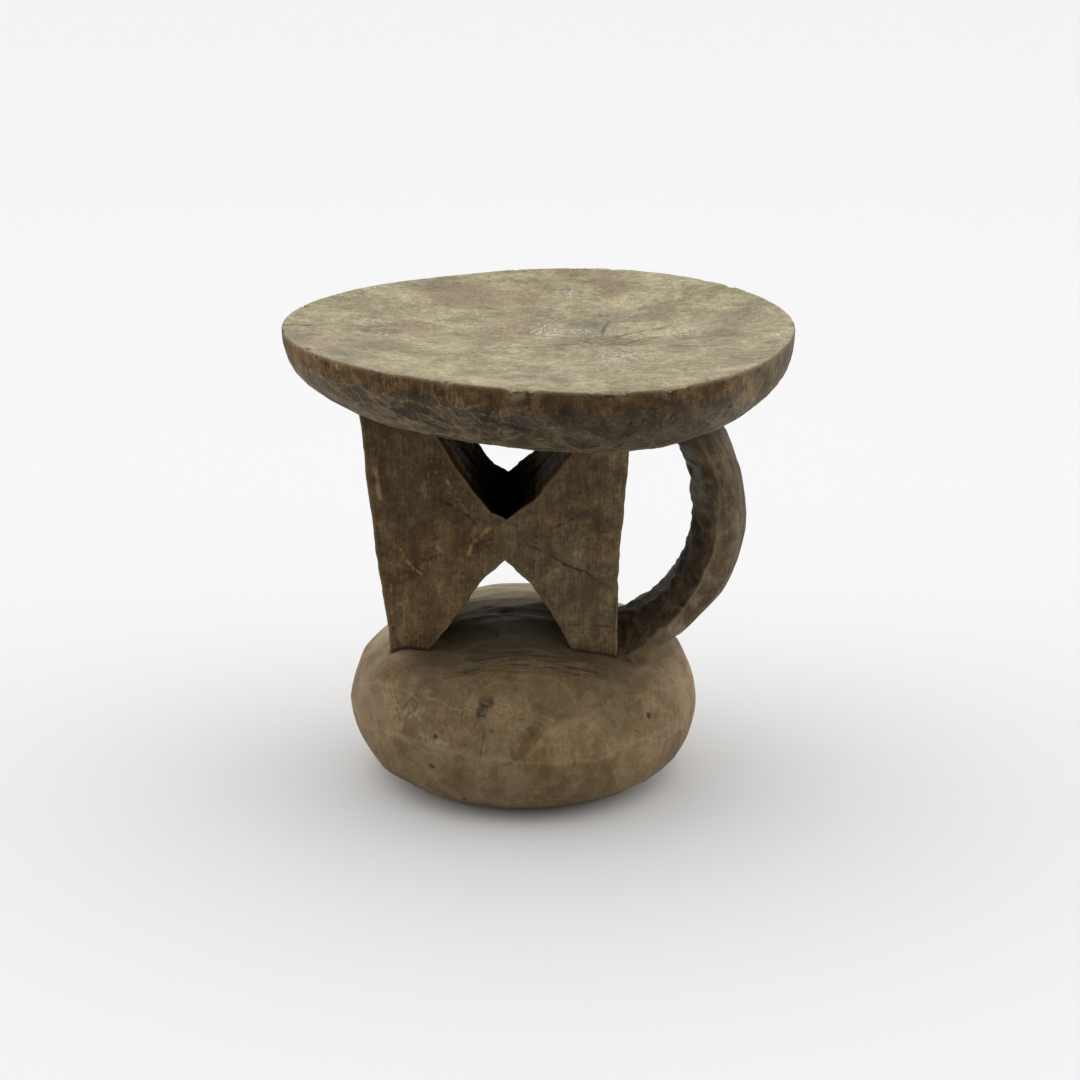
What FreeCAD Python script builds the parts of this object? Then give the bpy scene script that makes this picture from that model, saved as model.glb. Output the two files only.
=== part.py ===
"""A carved wooden stool: a dished egg-shaped seat, an X-shaped support block cut by two V notches,
a C-shaped carrying handle and a domed round base. The real stool is one log; each carved member
is its own solid here, and neighbours meet flush on the crease between them.

Frame: millimetres, +Z up, origin in the middle of the base's flat underside, +X towards the handle,
and the flat front panel of the support block faces -Y.
"""

import FreeCAD, Part
import os

import Sketcher

SHEET = "Dimensions"
TOLERANCE = 1e-3  # how near two sizes are when an edge is looked up by its size

# Driving dimensions in millimetres, one row each: name, value, what it measures.
DIMENSIONS = [
    ("seat_top", 275, "height of the seat's rim above the floor"),
    ("seat_widest_x", 35, "where the egg-shaped seat is deepest from front to back"),
    ("seat_left", 174, "from the deepest line to the seat's narrow left end"),
    ("seat_right", 121, "from the deepest line to the seat's round right end"),
    ("seat_half_depth", 151, "half of the seat's depth from front to back"),
    ("seat_bowl", 66, "depth of the ellipsoid that rounds the seat's underside"),
    ("seat_thickness", 57, "rim to the flat middle of the underside"),
    ("seat_dish", 9, "how far the sitting surface is hollowed"),
    ("seat_edge", 7, "width of the rim left outside the hollow"),
    ("base_radius", 104, "widest radius of the base"),
    ("base_waterline", 44, "height of the base's widest line"),
    ("base_rest_radius", 66, "radius of the flat underside"),
    ("base_belly", 44.5, "arc radius of the base's lower side"),
    ("base_shoulder_radius", 87, "radius where the side turns into the top"),
    ("base_shoulder_height", 82, "height of that shoulder"),
    ("base_side", 49, "arc radius of the base's upper side"),
    ("base_shoulder_round", 30, "rounding of the shoulder"),
    ("base_crown_height", 97, "height of the middle of the base's top"),
    ("base_crown", 260, "arc radius of the base's gently domed top"),
    ("block_depth", 88, "support block, front to back"),
    ("block_blank_top", 250, "top of the block before the seat is taken out of it"),
    ("block_blank_foot", 70, "foot of the block before the base is taken out of it"),
    ("block_left_top", -94, "left edge at the blank's top"),
    ("block_left_foot", -74, "left edge at the blank's foot"),
    ("block_right_top", 63, "right edge at the blank's top"),
    ("block_right_foot", 53, "right edge at the blank's foot"),
    ("notch_top_left", -71, "upper notch, left flank at the blank's top"),
    ("notch_floor_x", -10, "upper notch, floor"),
    ("notch_floor_height", 169, "upper notch, height of the floor"),
    ("notch_bend_left_x", -24, "upper notch, bend in the left flank"),
    ("notch_bend_right_x", 6, "upper notch, bend in the right flank"),
    ("notch_bend_height", 181, "upper notch, height of both bends"),
    ("notch_right_x", 38, "upper notch, right flank where it meets the seat"),
    ("notch_right_height", 220, "upper notch, height of that point"),
    ("arch_crown_x", -11, "lower notch, crown"),
    ("arch_crown_height", 144, "lower notch, height of the crown"),
    ("arch_bend_left_x", -24, "lower notch, bend in the left flank"),
    ("arch_bend_right_x", 3, "lower notch, bend in the right flank"),
    ("arch_bend_height", 132, "lower notch, height of both bends"),
    ("arch_foot_left_x", -54, "lower notch, left foot's inner edge"),
    ("arch_foot_right_x", 27, "lower notch, right foot's inner edge"),
    ("arch_foot_height", 90, "lower notch, height of the feet's inner edges"),
    ("handle_depth", 76, "handle strap, front to back"),
    ("handle_x", 35, "centre shared by the handle's two curves"),
    ("handle_height", 159, "height of that centre"),
    ("handle_outer", 95, "radius of the handle's outer curve"),
    ("handle_inner", 67, "radius of the handle's inner curve"),
    ("handle_outer_top", 236, "top of the outer curve, inside the seat"),
    ("handle_outer_foot", 70, "foot of the outer curve, inside the base"),
    ("handle_inner_top", 224, "top of the inner curve, inside the seat"),
    ("handle_inner_foot", 94, "foot of the inner curve, inside the support block"),
    ("handle_bevel", 9, "bevel along the handle's two outer edges"),
    ("clearance_box", 400, "side of the box that trims the ellipsoid halves flat"),
]

NOMINAL = {name: float(value) for name, value, _ in DIMENSIONS}


def ref(name):
    """The expression that reads one driving dimension."""
    return f"{SHEET}.{name}"


def make_sheet(doc):
    sheet = doc.addObject("Spreadsheet::Sheet", SHEET)
    for row, (name, value, meaning) in enumerate(DIMENSIONS, start=1):
        sheet.set(f"A{row}", name)
        sheet.set(f"B{row}", str(value))
        sheet.set(f"C{row}", meaning)
        sheet.setAlias(f"B{row}", name)
    doc.recompute()
    return sheet


def bind(feature, **sizes):
    """Bind properties to expressions; a double underscore in the key stands for a dot."""
    for key, expression in sizes.items():
        feature.setExpression(key.replace("__", "."), expression)


def origin_plane(body, role):
    return next(item for item in body.Origin.OriginFeatures if item.Role == role)


def front_sketch(body, name):
    """A sketch on the XZ plane: across is +X and up is +Z."""
    sketch = body.newObject("Sketcher::SketchObject", name)
    sketch.AttachmentSupport = [(origin_plane(body, "XZ_Plane"), "")]
    sketch.MapMode = "FlatFace"
    return sketch


def pin(sketch, curve, end, across, up):
    """Hold one end of a curve at two driving dimensions, given by name or as 0."""
    for kind, name in (("DistanceX", across), ("DistanceY", up)):
        value = NOMINAL[name] if name else 0.0
        index = sketch.addConstraint(Sketcher.Constraint(kind, -1, 1, curve, end, value))
        if name:
            sketch.setExpression(f"Constraints[{index}]", ref(name))


def join(sketch, first, second):
    """The end of one curve is the start of the next."""
    sketch.addConstraint(Sketcher.Constraint("Coincident", first, 2, second, 1))


def point(across, up):
    return FreeCAD.Vector(NOMINAL[across] if across else 0.0, NOMINAL[up] if up else 0.0, 0)


def polygon(sketch, corners):
    """A closed outline through corners, each a pair of driving dimensions."""
    lines = []
    for start, end in zip(corners, corners[1:] + corners[:1]):
        lines.append(sketch.addGeometry(Part.LineSegment(point(*start), point(*end)), False))
    for line, following in zip(lines, lines[1:] + lines[:1]):
        join(sketch, line, following)
    for line, corner in zip(lines, corners):
        pin(sketch, line, 1, *corner)


def arc_between(start, end, radius, bulge):
    """The short arc of a given radius from start to end; bulge is the side of its hump, +1 left."""
    chord = end - start
    half = chord.Length / 2
    rise = radius - (radius**2 - half**2) ** 0.5
    middle = (start + end) / 2
    side = FreeCAD.Vector(-chord.y, chord.x, 0).normalize() * (bulge * rise)
    return Part.Arc(start, middle + side, end)


def set_radius(sketch, curve, name):
    index = sketch.addConstraint(Sketcher.Constraint("Radius", curve, NOMINAL[name]))
    sketch.setExpression(f"Constraints[{index}]", ref(name))


def half_bowl(body, name, reach, turn, kind="Additive", shrink=None, depth="seat_bowl"):
    """The lower half of one end of the seat: a quarter ellipsoid hanging below the rim plane."""
    bowl = body.newObject(f"PartDesign::{kind}Ellipsoid", name)
    bowl.Angle1 = -90
    bowl.Angle2 = 0
    bowl.Angle3 = 180
    bowl.Placement = FreeCAD.Placement(
        FreeCAD.Vector(NOMINAL["seat_widest_x"], 0, NOMINAL["seat_top"]),
        FreeCAD.Rotation(FreeCAD.Vector(0, 0, 1), turn),
    )
    inset = f" - {ref(shrink)}" if shrink else ""
    bind(
        bowl,
        Radius1=ref(depth),
        Radius2=ref("seat_half_depth") + inset,
        Radius3=ref(reach) + inset,
        Placement__Base__x=ref("seat_widest_x"),
        Placement__Base__z=ref("seat_top"),
    )
    return bowl


def make_seat(doc):
    """An egg-shaped bowl, cut flat underneath and hollowed for sitting."""
    body = doc.addObject("PartDesign::Body", "SeatBody")
    half_bowl(body, "LeftBowl", "seat_left", 90)
    half_bowl(body, "RightBowl", "seat_right", -90)
    trim = body.newObject("PartDesign::SubtractiveBox", "FlatUnderside")
    bind(
        trim,
        Length=ref("clearance_box"),
        Width=ref("clearance_box"),
        Height=ref("clearance_box"),
        Placement__Base__x=f"-{ref('clearance_box')} / 2",
        Placement__Base__y=f"-{ref('clearance_box')} / 2",
        Placement__Base__z=f"{ref('seat_top')} - {ref('seat_thickness')} - {ref('clearance_box')}",
    )
    for name, reach, turn in (("LeftDish", "seat_left", 90), ("RightDish", "seat_right", -90)):
        half_bowl(body, name, reach, turn, "Subtractive", "seat_edge", "seat_dish")
    return body


def make_base(doc):
    """A cushion-shaped disc turned about the vertical, with a flat underside."""
    body = doc.addObject("PartDesign::Body", "BaseBody")
    sketch = front_sketch(body, "BaseProfile")
    stations = [
        (0, 0),
        ("base_rest_radius", 0),
        ("base_radius", "base_waterline"),
        ("base_shoulder_radius", "base_shoulder_height"),
        (0, "base_crown_height"),
    ]
    ends = [point(*station) for station in stations]
    curves = [
        Part.LineSegment(ends[0], ends[1]),
        arc_between(ends[1], ends[2], NOMINAL["base_belly"], -1),
        arc_between(ends[2], ends[3], NOMINAL["base_side"], -1),
        arc_between(ends[3], ends[4], NOMINAL["base_crown"], -1),
        Part.LineSegment(ends[4], ends[0]),
    ]
    ids = [sketch.addGeometry(curve, False) for curve in curves]
    for curve, following in zip(ids, ids[1:] + ids[:1]):
        join(sketch, curve, following)
    for curve, station in zip(ids, stations):
        pin(sketch, curve, 1, *station)
    for curve, name in zip(ids[1:4], ("base_belly", "base_side", "base_crown")):
        set_radius(sketch, curve, name)
    turned = body.newObject("PartDesign::Revolution", "TurnedBase")
    turned.Profile = sketch
    turned.ReferenceAxis = (sketch, ["V_Axis"])
    turned.Angle = 360
    doc.recompute()

    height = NOMINAL["base_shoulder_height"]
    rim = [
        f"Edge{number}"
        for number, edge in enumerate(turned.Shape.Edges, start=1)
        if edge.isClosed() and abs(edge.CenterOfMass.z - height) < TOLERANCE
    ]
    shoulder = body.newObject("PartDesign::Fillet", "RoundedShoulder")
    shoulder.Base = (turned, rim)
    bind(shoulder, Radius=ref("base_shoulder_round"))
    return body


def make_block(doc):
    """The X-shaped support: a thick slab with a notch from above and an arch from below."""
    body = doc.addObject("PartDesign::Body", "BlockBody")
    sketch = front_sketch(body, "BlockOutline")
    polygon(
        sketch,
        [
            ("block_left_top", "block_blank_top"),
            ("block_left_foot", "block_blank_foot"),
            ("arch_foot_left_x", "block_blank_foot"),
            ("arch_foot_left_x", "arch_foot_height"),
            ("arch_bend_left_x", "arch_bend_height"),
            ("arch_crown_x", "arch_crown_height"),
            ("arch_bend_right_x", "arch_bend_height"),
            ("arch_foot_right_x", "arch_foot_height"),
            ("arch_foot_right_x", "block_blank_foot"),
            ("block_right_foot", "block_blank_foot"),
            ("block_right_top", "block_blank_top"),
            ("notch_right_x", "block_blank_top"),
            ("notch_right_x", "notch_right_height"),
            ("notch_bend_right_x", "notch_bend_height"),
            ("notch_floor_x", "notch_floor_height"),
            ("notch_bend_left_x", "notch_bend_height"),
            ("notch_top_left", "block_blank_top"),
        ],
    )
    slab = body.newObject("PartDesign::Pad", "Slab")
    slab.Profile = sketch
    slab.Midplane = True
    bind(slab, Length=ref("block_depth"))
    return body


def strap_arc(sketch, name):
    """One long curve of the handle, foot to top: its centre, radius and end heights are driven."""
    centre = point("handle_x", "handle_height")
    radius = NOMINAL[name]
    ends = (f"{name}_foot", f"{name}_top")
    tips = []
    for end in ends:
        height = NOMINAL[end]
        across = centre.x + (radius**2 - (height - centre.y) ** 2) ** 0.5
        tips.append(FreeCAD.Vector(across, height, 0))
    far = centre + FreeCAD.Vector(radius, 0, 0)
    curve = sketch.addGeometry(Part.Arc(tips[0], far, tips[1]), False)
    pin(sketch, curve, 3, "handle_x", "handle_height")
    set_radius(sketch, curve, name)
    for position, end in enumerate(ends, start=1):
        height = Sketcher.Constraint("DistanceY", -1, 1, curve, position, NOMINAL[end])
        index = sketch.addConstraint(height)
        sketch.setExpression(f"Constraints[{index}]", ref(end))
    return curve


def close_outline(sketch, outer, inner):
    """Close the strap: straight across inside the seat, and square around its foot in the base."""
    outer_foot, outer_top = (sketch.getPoint(outer, end) for end in (1, 2))
    inner_foot, inner_top = (sketch.getPoint(inner, end) for end in (1, 2))
    corner = FreeCAD.Vector(inner_foot.x, outer_foot.y, 0)
    top = sketch.addGeometry(Part.LineSegment(outer_top, inner_top), False)
    riser = sketch.addGeometry(Part.LineSegment(inner_foot, corner), False)
    sole = sketch.addGeometry(Part.LineSegment(corner, outer_foot), False)
    join(sketch, outer, top)
    join(sketch, riser, sole)
    for line, line_end, arc, arc_end in ((top, 2, inner, 2), (riser, 1, inner, 1), (sole, 2, outer, 1)):
        touching = Sketcher.Constraint("Coincident", line, line_end, arc, arc_end)
        sketch.addConstraint(touching)
    sketch.addConstraint(Sketcher.Constraint("Vertical", riser))
    sketch.addConstraint(Sketcher.Constraint("Horizontal", sole))


def make_handle(doc):
    """A C-shaped strap between two arcs about one centre, bevelled along its outer edges."""
    body = doc.addObject("PartDesign::Body", "HandleBody")
    sketch = front_sketch(body, "HandleOutline")
    outer = strap_arc(sketch, "handle_outer")
    inner = strap_arc(sketch, "handle_inner")
    close_outline(sketch, outer, inner)
    strap = body.newObject("PartDesign::Pad", "Strap")
    strap.Profile = sketch
    strap.Midplane = True
    bind(strap, Length=ref("handle_depth"))
    doc.recompute()

    long_edges = [
        f"Edge{number}"
        for number, edge in enumerate(strap.Shape.Edges, start=1)
        if isinstance(edge.Curve, Part.Circle)
        and abs(edge.Curve.Radius - NOMINAL["handle_outer"]) < TOLERANCE
    ]
    bevel = body.newObject("PartDesign::Chamfer", "OuterBevel")
    bevel.Base = (strap, long_edges)
    bind(bevel, Size=ref("handle_bevel"))
    return body


def cut(doc, name, base, tool):
    result = doc.addObject("Part::Cut", name)
    result.Base = base
    result.Tool = tool
    return result


def check(doc):
    """Stop before anything is written if an object failed to build."""
    for item in doc.Objects:
        bad = [state for state in item.State if state in ("Invalid", "Error")]
        if bad:
            raise RuntimeError(f"{item.Name} failed: {bad}")


def write(parts):
    os.makedirs("parts", exist_ok=True)
    for part in parts:
        shape = part.Shape
        if shape.isNull() or not shape.isValid():
            raise RuntimeError(f"{part.Label} has no valid shape")
        if len(shape.Solids) != 1:
            raise RuntimeError(f"{part.Label} is {len(shape.Solids)} solids")
    for part in parts:
        part.Shape.exportStep(f"parts/{part.Label}.step")
        box = part.Shape.optimalBoundingBox(False, False)
        print(part.Label, "volume", round(part.Shape.Volume), "box", box)


def main():
    doc = FreeCAD.newDocument("CarvedStool")
    make_sheet(doc)
    seat = make_seat(doc)
    base = make_base(doc)
    block = make_block(doc)
    handle = make_handle(doc)
    doc.recompute()

    block_under_seat = cut(doc, "BlockUnderSeat", block, seat)
    support = cut(doc, "BlockOnBase", block_under_seat, base)
    handle_under_seat = cut(doc, "HandleUnderSeat", handle, seat)
    handle_on_base = cut(doc, "HandleOnBase", handle_under_seat, base)
    strap = cut(doc, "HandleBesideBlock", handle_on_base, block)
    doc.recompute()

    for part, label in (
        (seat, "seat"),
        (support, "support_block"),
        (strap, "handle"),
        (base, "base"),
    ):
        part.Label = label
        part.Placement = FreeCAD.Placement()
    doc.recompute()
    check(doc)
    write([seat, support, strap, base])


main()
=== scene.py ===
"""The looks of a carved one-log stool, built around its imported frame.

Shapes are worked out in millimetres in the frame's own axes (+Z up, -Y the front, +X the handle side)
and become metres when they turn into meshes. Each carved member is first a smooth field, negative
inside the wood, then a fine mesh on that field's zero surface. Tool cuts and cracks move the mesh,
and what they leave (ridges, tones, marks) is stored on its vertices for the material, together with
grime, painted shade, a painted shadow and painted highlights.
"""

import math

import bpy
import numpy as np
import openvdb
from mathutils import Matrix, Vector


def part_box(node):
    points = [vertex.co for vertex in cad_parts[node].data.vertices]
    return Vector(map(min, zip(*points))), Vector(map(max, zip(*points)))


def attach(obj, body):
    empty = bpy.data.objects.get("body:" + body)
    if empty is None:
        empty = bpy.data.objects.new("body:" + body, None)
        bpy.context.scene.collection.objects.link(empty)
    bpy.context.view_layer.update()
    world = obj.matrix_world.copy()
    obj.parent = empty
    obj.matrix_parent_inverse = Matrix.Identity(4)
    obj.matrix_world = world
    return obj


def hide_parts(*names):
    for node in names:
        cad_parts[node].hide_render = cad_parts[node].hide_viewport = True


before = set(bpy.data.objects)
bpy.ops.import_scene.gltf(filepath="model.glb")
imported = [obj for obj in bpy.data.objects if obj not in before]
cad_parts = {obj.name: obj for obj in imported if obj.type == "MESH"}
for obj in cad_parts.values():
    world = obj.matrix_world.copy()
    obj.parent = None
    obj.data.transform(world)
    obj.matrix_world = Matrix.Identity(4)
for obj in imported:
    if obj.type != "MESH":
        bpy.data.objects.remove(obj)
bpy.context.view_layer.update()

MM = 0.001


def node_box(name):
    """Lowest and highest corner of a frame node, in millimetres."""
    low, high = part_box(name)
    return np.array(low) / MM, np.array(high) / MM


SEAT_LOW, SEAT_HIGH = node_box("seat")
BLOCK_LOW, BLOCK_HIGH = node_box("support_block")
HANDLE_LOW, HANDLE_HIGH = node_box("handle")
BASE_LOW, BASE_HIGH = node_box("base")

COARSER = 1.0  # larger mesh steps while trying things
TUCK = 2.5  # how far a member reaches into its neighbour, so that no gap shows at the crease


# -------------------------------- noise and blending


def cell_random(seed, *cells):
    """A repeatable number from 0 to 1 for each lattice cell."""
    mixed = np.full(np.broadcast(*cells).shape, (seed * 2654435761) % 2**32, np.uint32)
    for prime, cell in zip((73856093, 19349663, 83492791), cells):
        mixed = mixed ^ (cell.astype(np.int64).astype(np.uint32) * np.uint32(prime))
        mixed = (mixed ^ (mixed >> np.uint32(13))) * np.uint32(1540483477)
        mixed = mixed ^ (mixed >> np.uint32(15))
    return mixed / 2.0**32


def smooth_noise(seed, sizes, *axes):
    """Smooth noise from -1 to 1 over one to three coordinates, with features about sizes wide."""
    sizes = np.broadcast_to(sizes, len(axes))
    corners, fades = [], []
    for size, axis in zip(sizes, axes):
        scaled = np.asarray(axis, float) / size
        corner = np.floor(scaled)
        part = scaled - corner
        corners.append(corner.astype(np.int64))
        fades.append(part * part * part * (part * (part * 6 - 15) + 10))
    total = 0.0
    for choice in range(2 ** len(axes)):
        weight, cells = 1.0, []
        for index, (corner, fade) in enumerate(zip(corners, fades)):
            upper = (choice >> index) & 1
            weight = weight * (fade if upper else 1 - fade)
            cells.append(corner + upper)
        total = total + weight * cell_random(seed, *cells)
    return total * 2 - 1


def layered_noise(seed, sizes, *axes, layers=3):
    """Noise with finer and weaker layers added, still within about -1 to 1."""
    total, reach, strength = 0.0, 0.0, 1.0
    sizes = np.array(np.broadcast_to(sizes, len(axes)), float)
    for layer in range(layers):
        total = total + strength * smooth_noise(seed + 101 * layer, sizes / 2**layer, *axes)
        reach += strength
        strength *= 0.5
    return total / reach * 1.5


def ease(low, high, value):
    """0 below low and 1 above high, with a smooth climb between; low may be the larger."""
    part = np.clip((value - low) / (high - low), 0, 1)
    return part * part * (3 - 2 * part)


def smooth_max(a, b, blend):
    """The larger of two fields, with the crease between them rounded over about blend."""
    near = np.maximum(blend - np.abs(a - b), 0) / blend
    return np.maximum(a, b) + near * near * blend / 4


def smooth_min(a, b, blend):
    return -smooth_max(-a, -b, blend)


def waves(amounts, angle):
    """A sum of whole waves around a full turn: (count, cosine part, sine part) each."""
    return sum(c * np.cos(n * angle) + s * np.sin(n * angle) for n, c, s in amounts)


RIDGE_WIDTH = 0.06  # height difference over which a ridge fades


def tool_cuts(seed, u, v, size, hollow, tilt=0.05, depth=0.4, around=None):
    """Overlapping shallow tool cuts over a surface with coordinates u and v.

    size is a cut's width and height, and hollow how gently it curves in each direction: a cut that
    leaves a round member flat has the member's own radius. The deepest cut wins at each point.
    Returns the height left standing (on average 0), how near the point is to a ridge between cuts
    (1 on it, falling to 0) and a random tone from -1 to 1 for each cut.
    around is the number of cuts in a full turn of u, where u closes on itself.
    """
    width, height = size
    row = np.floor(v / height).astype(np.int64)
    deepest = np.full(np.shape(u), np.inf)
    second = deepest.copy()
    tone = np.zeros(np.shape(u))
    for row_step in (-1, 0, 1):
        this_row = row + row_step
        shifted = u / width + 0.5 * (this_row % 2)
        column = np.floor(shifted).astype(np.int64)
        for column_step in (-1, 0, 1):
            this_column = column + column_step
            key = this_column % around if around else this_column
            draw = [cell_random(seed + k, key, this_row) - 0.5 for k in range(6)]
            du = (shifted - this_column - 0.5 - 0.5 * draw[0]) * width
            dv = v - (this_row + 0.5 + 0.4 * draw[1]) * height
            cut = du**2 / (2 * hollow[0]) + dv**2 / (2 * hollow[1])
            cut = cut + tilt * (draw[2] * du + draw[3] * dv) + depth * draw[4]
            second = np.minimum(second, np.maximum(cut, deepest))
            tone = np.where(cut < deepest, 2 * draw[5], tone)
            deepest = np.minimum(deepest, cut)
    ridge = np.exp((deepest - second) / RIDGE_WIDTH)
    return deepest - deepest.mean(), ridge, tone


def stroke(points, path, width):
    """1 on a thin stroke along a path of points, fading to 0 at `width` from it."""
    nearest = np.full(len(points), np.inf)
    path = np.array(path, float)
    for start, end in zip(path[:-1], path[1:]):
        run = end - start
        along = np.clip(((points - start) @ run) / (run @ run), 0, 1)
        gap = points - start - along[:, None] * run
        nearest = np.minimum(nearest, np.sqrt((gap**2).sum(1)))
    return np.clip(1 - nearest / width, 0, 1)


def strokes(seed, points, table):
    """Several uneven, slightly wandering strokes; the table holds (strength, width, path)."""
    total = np.zeros(len(points))
    axes = points.T
    wander = [smooth_noise(seed + k, 7.0, *axes) for k in range(points.shape[1])]
    points = points + 0.8 * np.stack(wander, 1)
    uneven = ease(-0.7, 0.5, layered_noise(seed + 5, 6.0, *axes, layers=2))
    for strength, width, path in table:
        total = np.maximum(total, strength * stroke(points, path, width))
    return total * (0.35 + 0.65 * uneven)


def spots(points, table):
    """The strongest of several soft round spots; the table holds (strength, radius, centre)."""
    total = np.zeros(len(points))
    for strength, radius, centre in table:
        away = ((points - np.array(centre, float)) ** 2).sum(1) / radius**2
        total = np.maximum(total, strength * np.exp(-(away**2)))
    return total


# -------------------------------- the carved members as fields

RIM_HEIGHT = SEAT_HIGH[2] - 1
SEAT_THICKNESS = SEAT_HIGH[2] - SEAT_LOW[2]
SEAT_WIDEST = 35.5  # where the egg-shaped seat is deepest
SEAT_MIDDLE = (SEAT_LOW[0] + SEAT_HIGH[0]) / 2
SEAT_HALF_DEPTH = (SEAT_HIGH[1] - SEAT_LOW[1]) / 2
DISH_DEPTH = 9.0
BOWL_POWER = 2.5  # 2 would be an ellipse; more is fuller
RIM_ROUNDING = 1.4
RIM_WAVES = ((2, -1.3, -0.4), (3, -1.1, 0.8), (4, -1.7, 2.5), (5, 1.0, 0.3))
RIM_LIFTS = ((1, -1.3, -0.1), (2, 0.5, 0.3), (3, -0.9, -1.3))


def seat_outline(x, y):
    """1 on the seat's outline and less inside it, and the angle around the seat's middle."""
    across = x - SEAT_WIDEST
    reach = np.where(across < 0, SEAT_WIDEST - SEAT_LOW[0] + 2.6, SEAT_HIGH[0] - SEAT_WIDEST + 3.5)
    angle = np.arctan2(y, x - SEAT_MIDDLE)
    lumps = waves(RIM_WAVES, angle) / SEAT_HALF_DEPTH
    return np.hypot(across / reach, y / SEAT_HALF_DEPTH) / (1 + lumps), angle


def seat_field(x, y, z):
    outline, angle = seat_outline(x, y)
    rim = RIM_HEIGHT + waves(RIM_LIFTS, angle) * np.minimum(outline, 1) ** 2
    sitting = z - rim + DISH_DEPTH * (1 - np.minimum(outline, 1) ** 2)
    drop = np.maximum(rim - z, 0) / SEAT_THICKNESS
    bowl = (outline**BOWL_POWER + drop**BOWL_POWER) ** (1 / BOWL_POWER) + 1e-6
    steep = np.hypot(
        outline ** (BOWL_POWER - 1) / SEAT_HALF_DEPTH, drop ** (BOWL_POWER - 1) / SEAT_THICKNESS
    )
    side = (bowl - 1) * bowl ** (BOWL_POWER - 1) / (steep + 1e-4)
    return smooth_max(np.clip(side, -20, 20), sitting, RIM_ROUNDING)


BASE_RADIUS = BASE_HIGH[0]
WATERLINE = 44.0  # height of the base's widest line
UPPER_SIDE = 49.0  # arc radius above that line
LOWER_SIDE = 44.5  # and below it
CROWN = 260.0  # radius of the domed top
# Uneven spots of the base's top: x, y, rise and spread.
TOP_RISES = ((-75, -45, 8.0, 14), (-54, -44, -1.0, 9), (47, -44, -2.3, 22), (-10, 66, 4.5, 30))


def base_field(x, y, z):
    radius = np.hypot(x, y)
    beyond_upper = np.maximum(radius - BASE_RADIUS + UPPER_SIDE, 0)
    upper = np.hypot(beyond_upper, z - WATERLINE) - UPPER_SIDE
    upper = upper - 0.35 * np.maximum(BASE_RADIUS - UPPER_SIDE - radius, 0)
    beyond_lower = np.maximum(radius - BASE_RADIUS + LOWER_SIDE, 0)
    lower = np.hypot(beyond_lower, z - WATERLINE) - LOWER_SIDE
    side = np.where(z > WATERLINE, upper, lower)
    crown = np.hypot(radius, z - BASE_HIGH[2] + CROWN) - CROWN
    whole = smooth_max(side, crown - 1.0, 9.0)
    for rise_x, rise_y, rise, spread in TOP_RISES:
        spot = np.exp(-((x - rise_x) ** 2 + (y - rise_y) ** 2) / (2 * spread**2))
        whole = whole - rise * spot * ease(50, 75, z)
    return smooth_max(whole, -z, 2.0)


BLOCK_LEFT, BLOCK_RIGHT, BLOCK_HALF_DEPTH = BLOCK_LOW[0], BLOCK_HIGH[0], BLOCK_HIGH[1]
WAIST = -10.0  # x of the notch's and the arch's points
BLOCK_OUTLINE = (
    (BLOCK_LEFT - 2.8, 250), (BLOCK_LEFT + 2.6, 190), (BLOCK_LEFT + 8.3, 140), (BLOCK_LEFT + 17, 70),
    (-54, 70), (-54, 90), (-39, 109), (-31, 122), (-24, 132.5), (-17, 138),
    (WAIST - 1, 144.5), (-4, 137.5), (5, 128), (13, 116.5), (20, 104), (27.5, 89), (27.5, 70),
    (BLOCK_RIGHT - 7.5, 70), (BLOCK_RIGHT - 6.4, 140), (BLOCK_RIGHT - 3.2, 180), (BLOCK_RIGHT + 3, 250),
    (62, 250), (29, 210), (18, 196), (6, 180.5), (WAIST, 168.5),
    (-18, 173), (-27, 184), (-38, 199.5), (-50, 220), (-66, 250),
)


def outline_field(across, up, corners):
    """Signed distance to a closed outline, negative inside."""
    nearest = np.full(np.broadcast(across, up).shape, np.inf)
    inside = np.zeros(nearest.shape, bool)
    for (x0, z0), (x1, z1) in zip(corners, corners[1:] + corners[:1]):
        run_x, run_z = x1 - x0, z1 - z0
        along = ((across - x0) * run_x + (up - z0) * run_z) / (run_x**2 + run_z**2)
        along = np.clip(along, 0, 1)
        gap = np.hypot(across - x0 - along * run_x, up - z0 - along * run_z)
        nearest = np.minimum(nearest, gap)
        crosses = (z0 > up) != (z1 > up)
        if z1 != z0:
            inside ^= crosses & (across < x0 + (up - z0) * run_x / run_z)
    return np.where(inside, -nearest, nearest)


NOTCH_RISE = 3.2  # how much higher the notch lies at the back than at the front


def slab_field(x, y, z):
    """The notched block before its top and feet are let into its neighbours."""
    outline = outline_field(x, z, BLOCK_OUTLINE)
    raised = outline_field(x, z - NOTCH_RISE, BLOCK_OUTLINE)
    behind = ease(-30, 44, y) * ease(150, 160, z)
    outline = outline + behind * (raised - outline)
    wobble = 0.55 * layered_noise(11, 13, x, z) + 0.35 * smooth_noise(12, (9, 26, 9), x, y, z)
    return smooth_max(outline + wobble, np.abs(y) - BLOCK_HALF_DEPTH, 1.6)


def let_in(field, x, y, z, *neighbours):
    """Trim a member where it goes more than TUCK deep into its neighbours."""
    for neighbour in neighbours:
        field = np.maximum(field, -(neighbour(x, y, z) + TUCK))
    return field


def block_field(x, y, z):
    return let_in(slab_field(x, y, z), x, y, z, seat_field, base_field)


HANDLE_MIDDLE = (35.0, 159.0)  # x and height of the centre the handle curls about
HANDLE_RADIUS = 80.0  # from that centre to the middle of the strap
HANDLE_FLAT = 12.0  # half width of the outer facet
HANDLE_BEVEL = 0.3  # fall of the facets beside it


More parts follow.
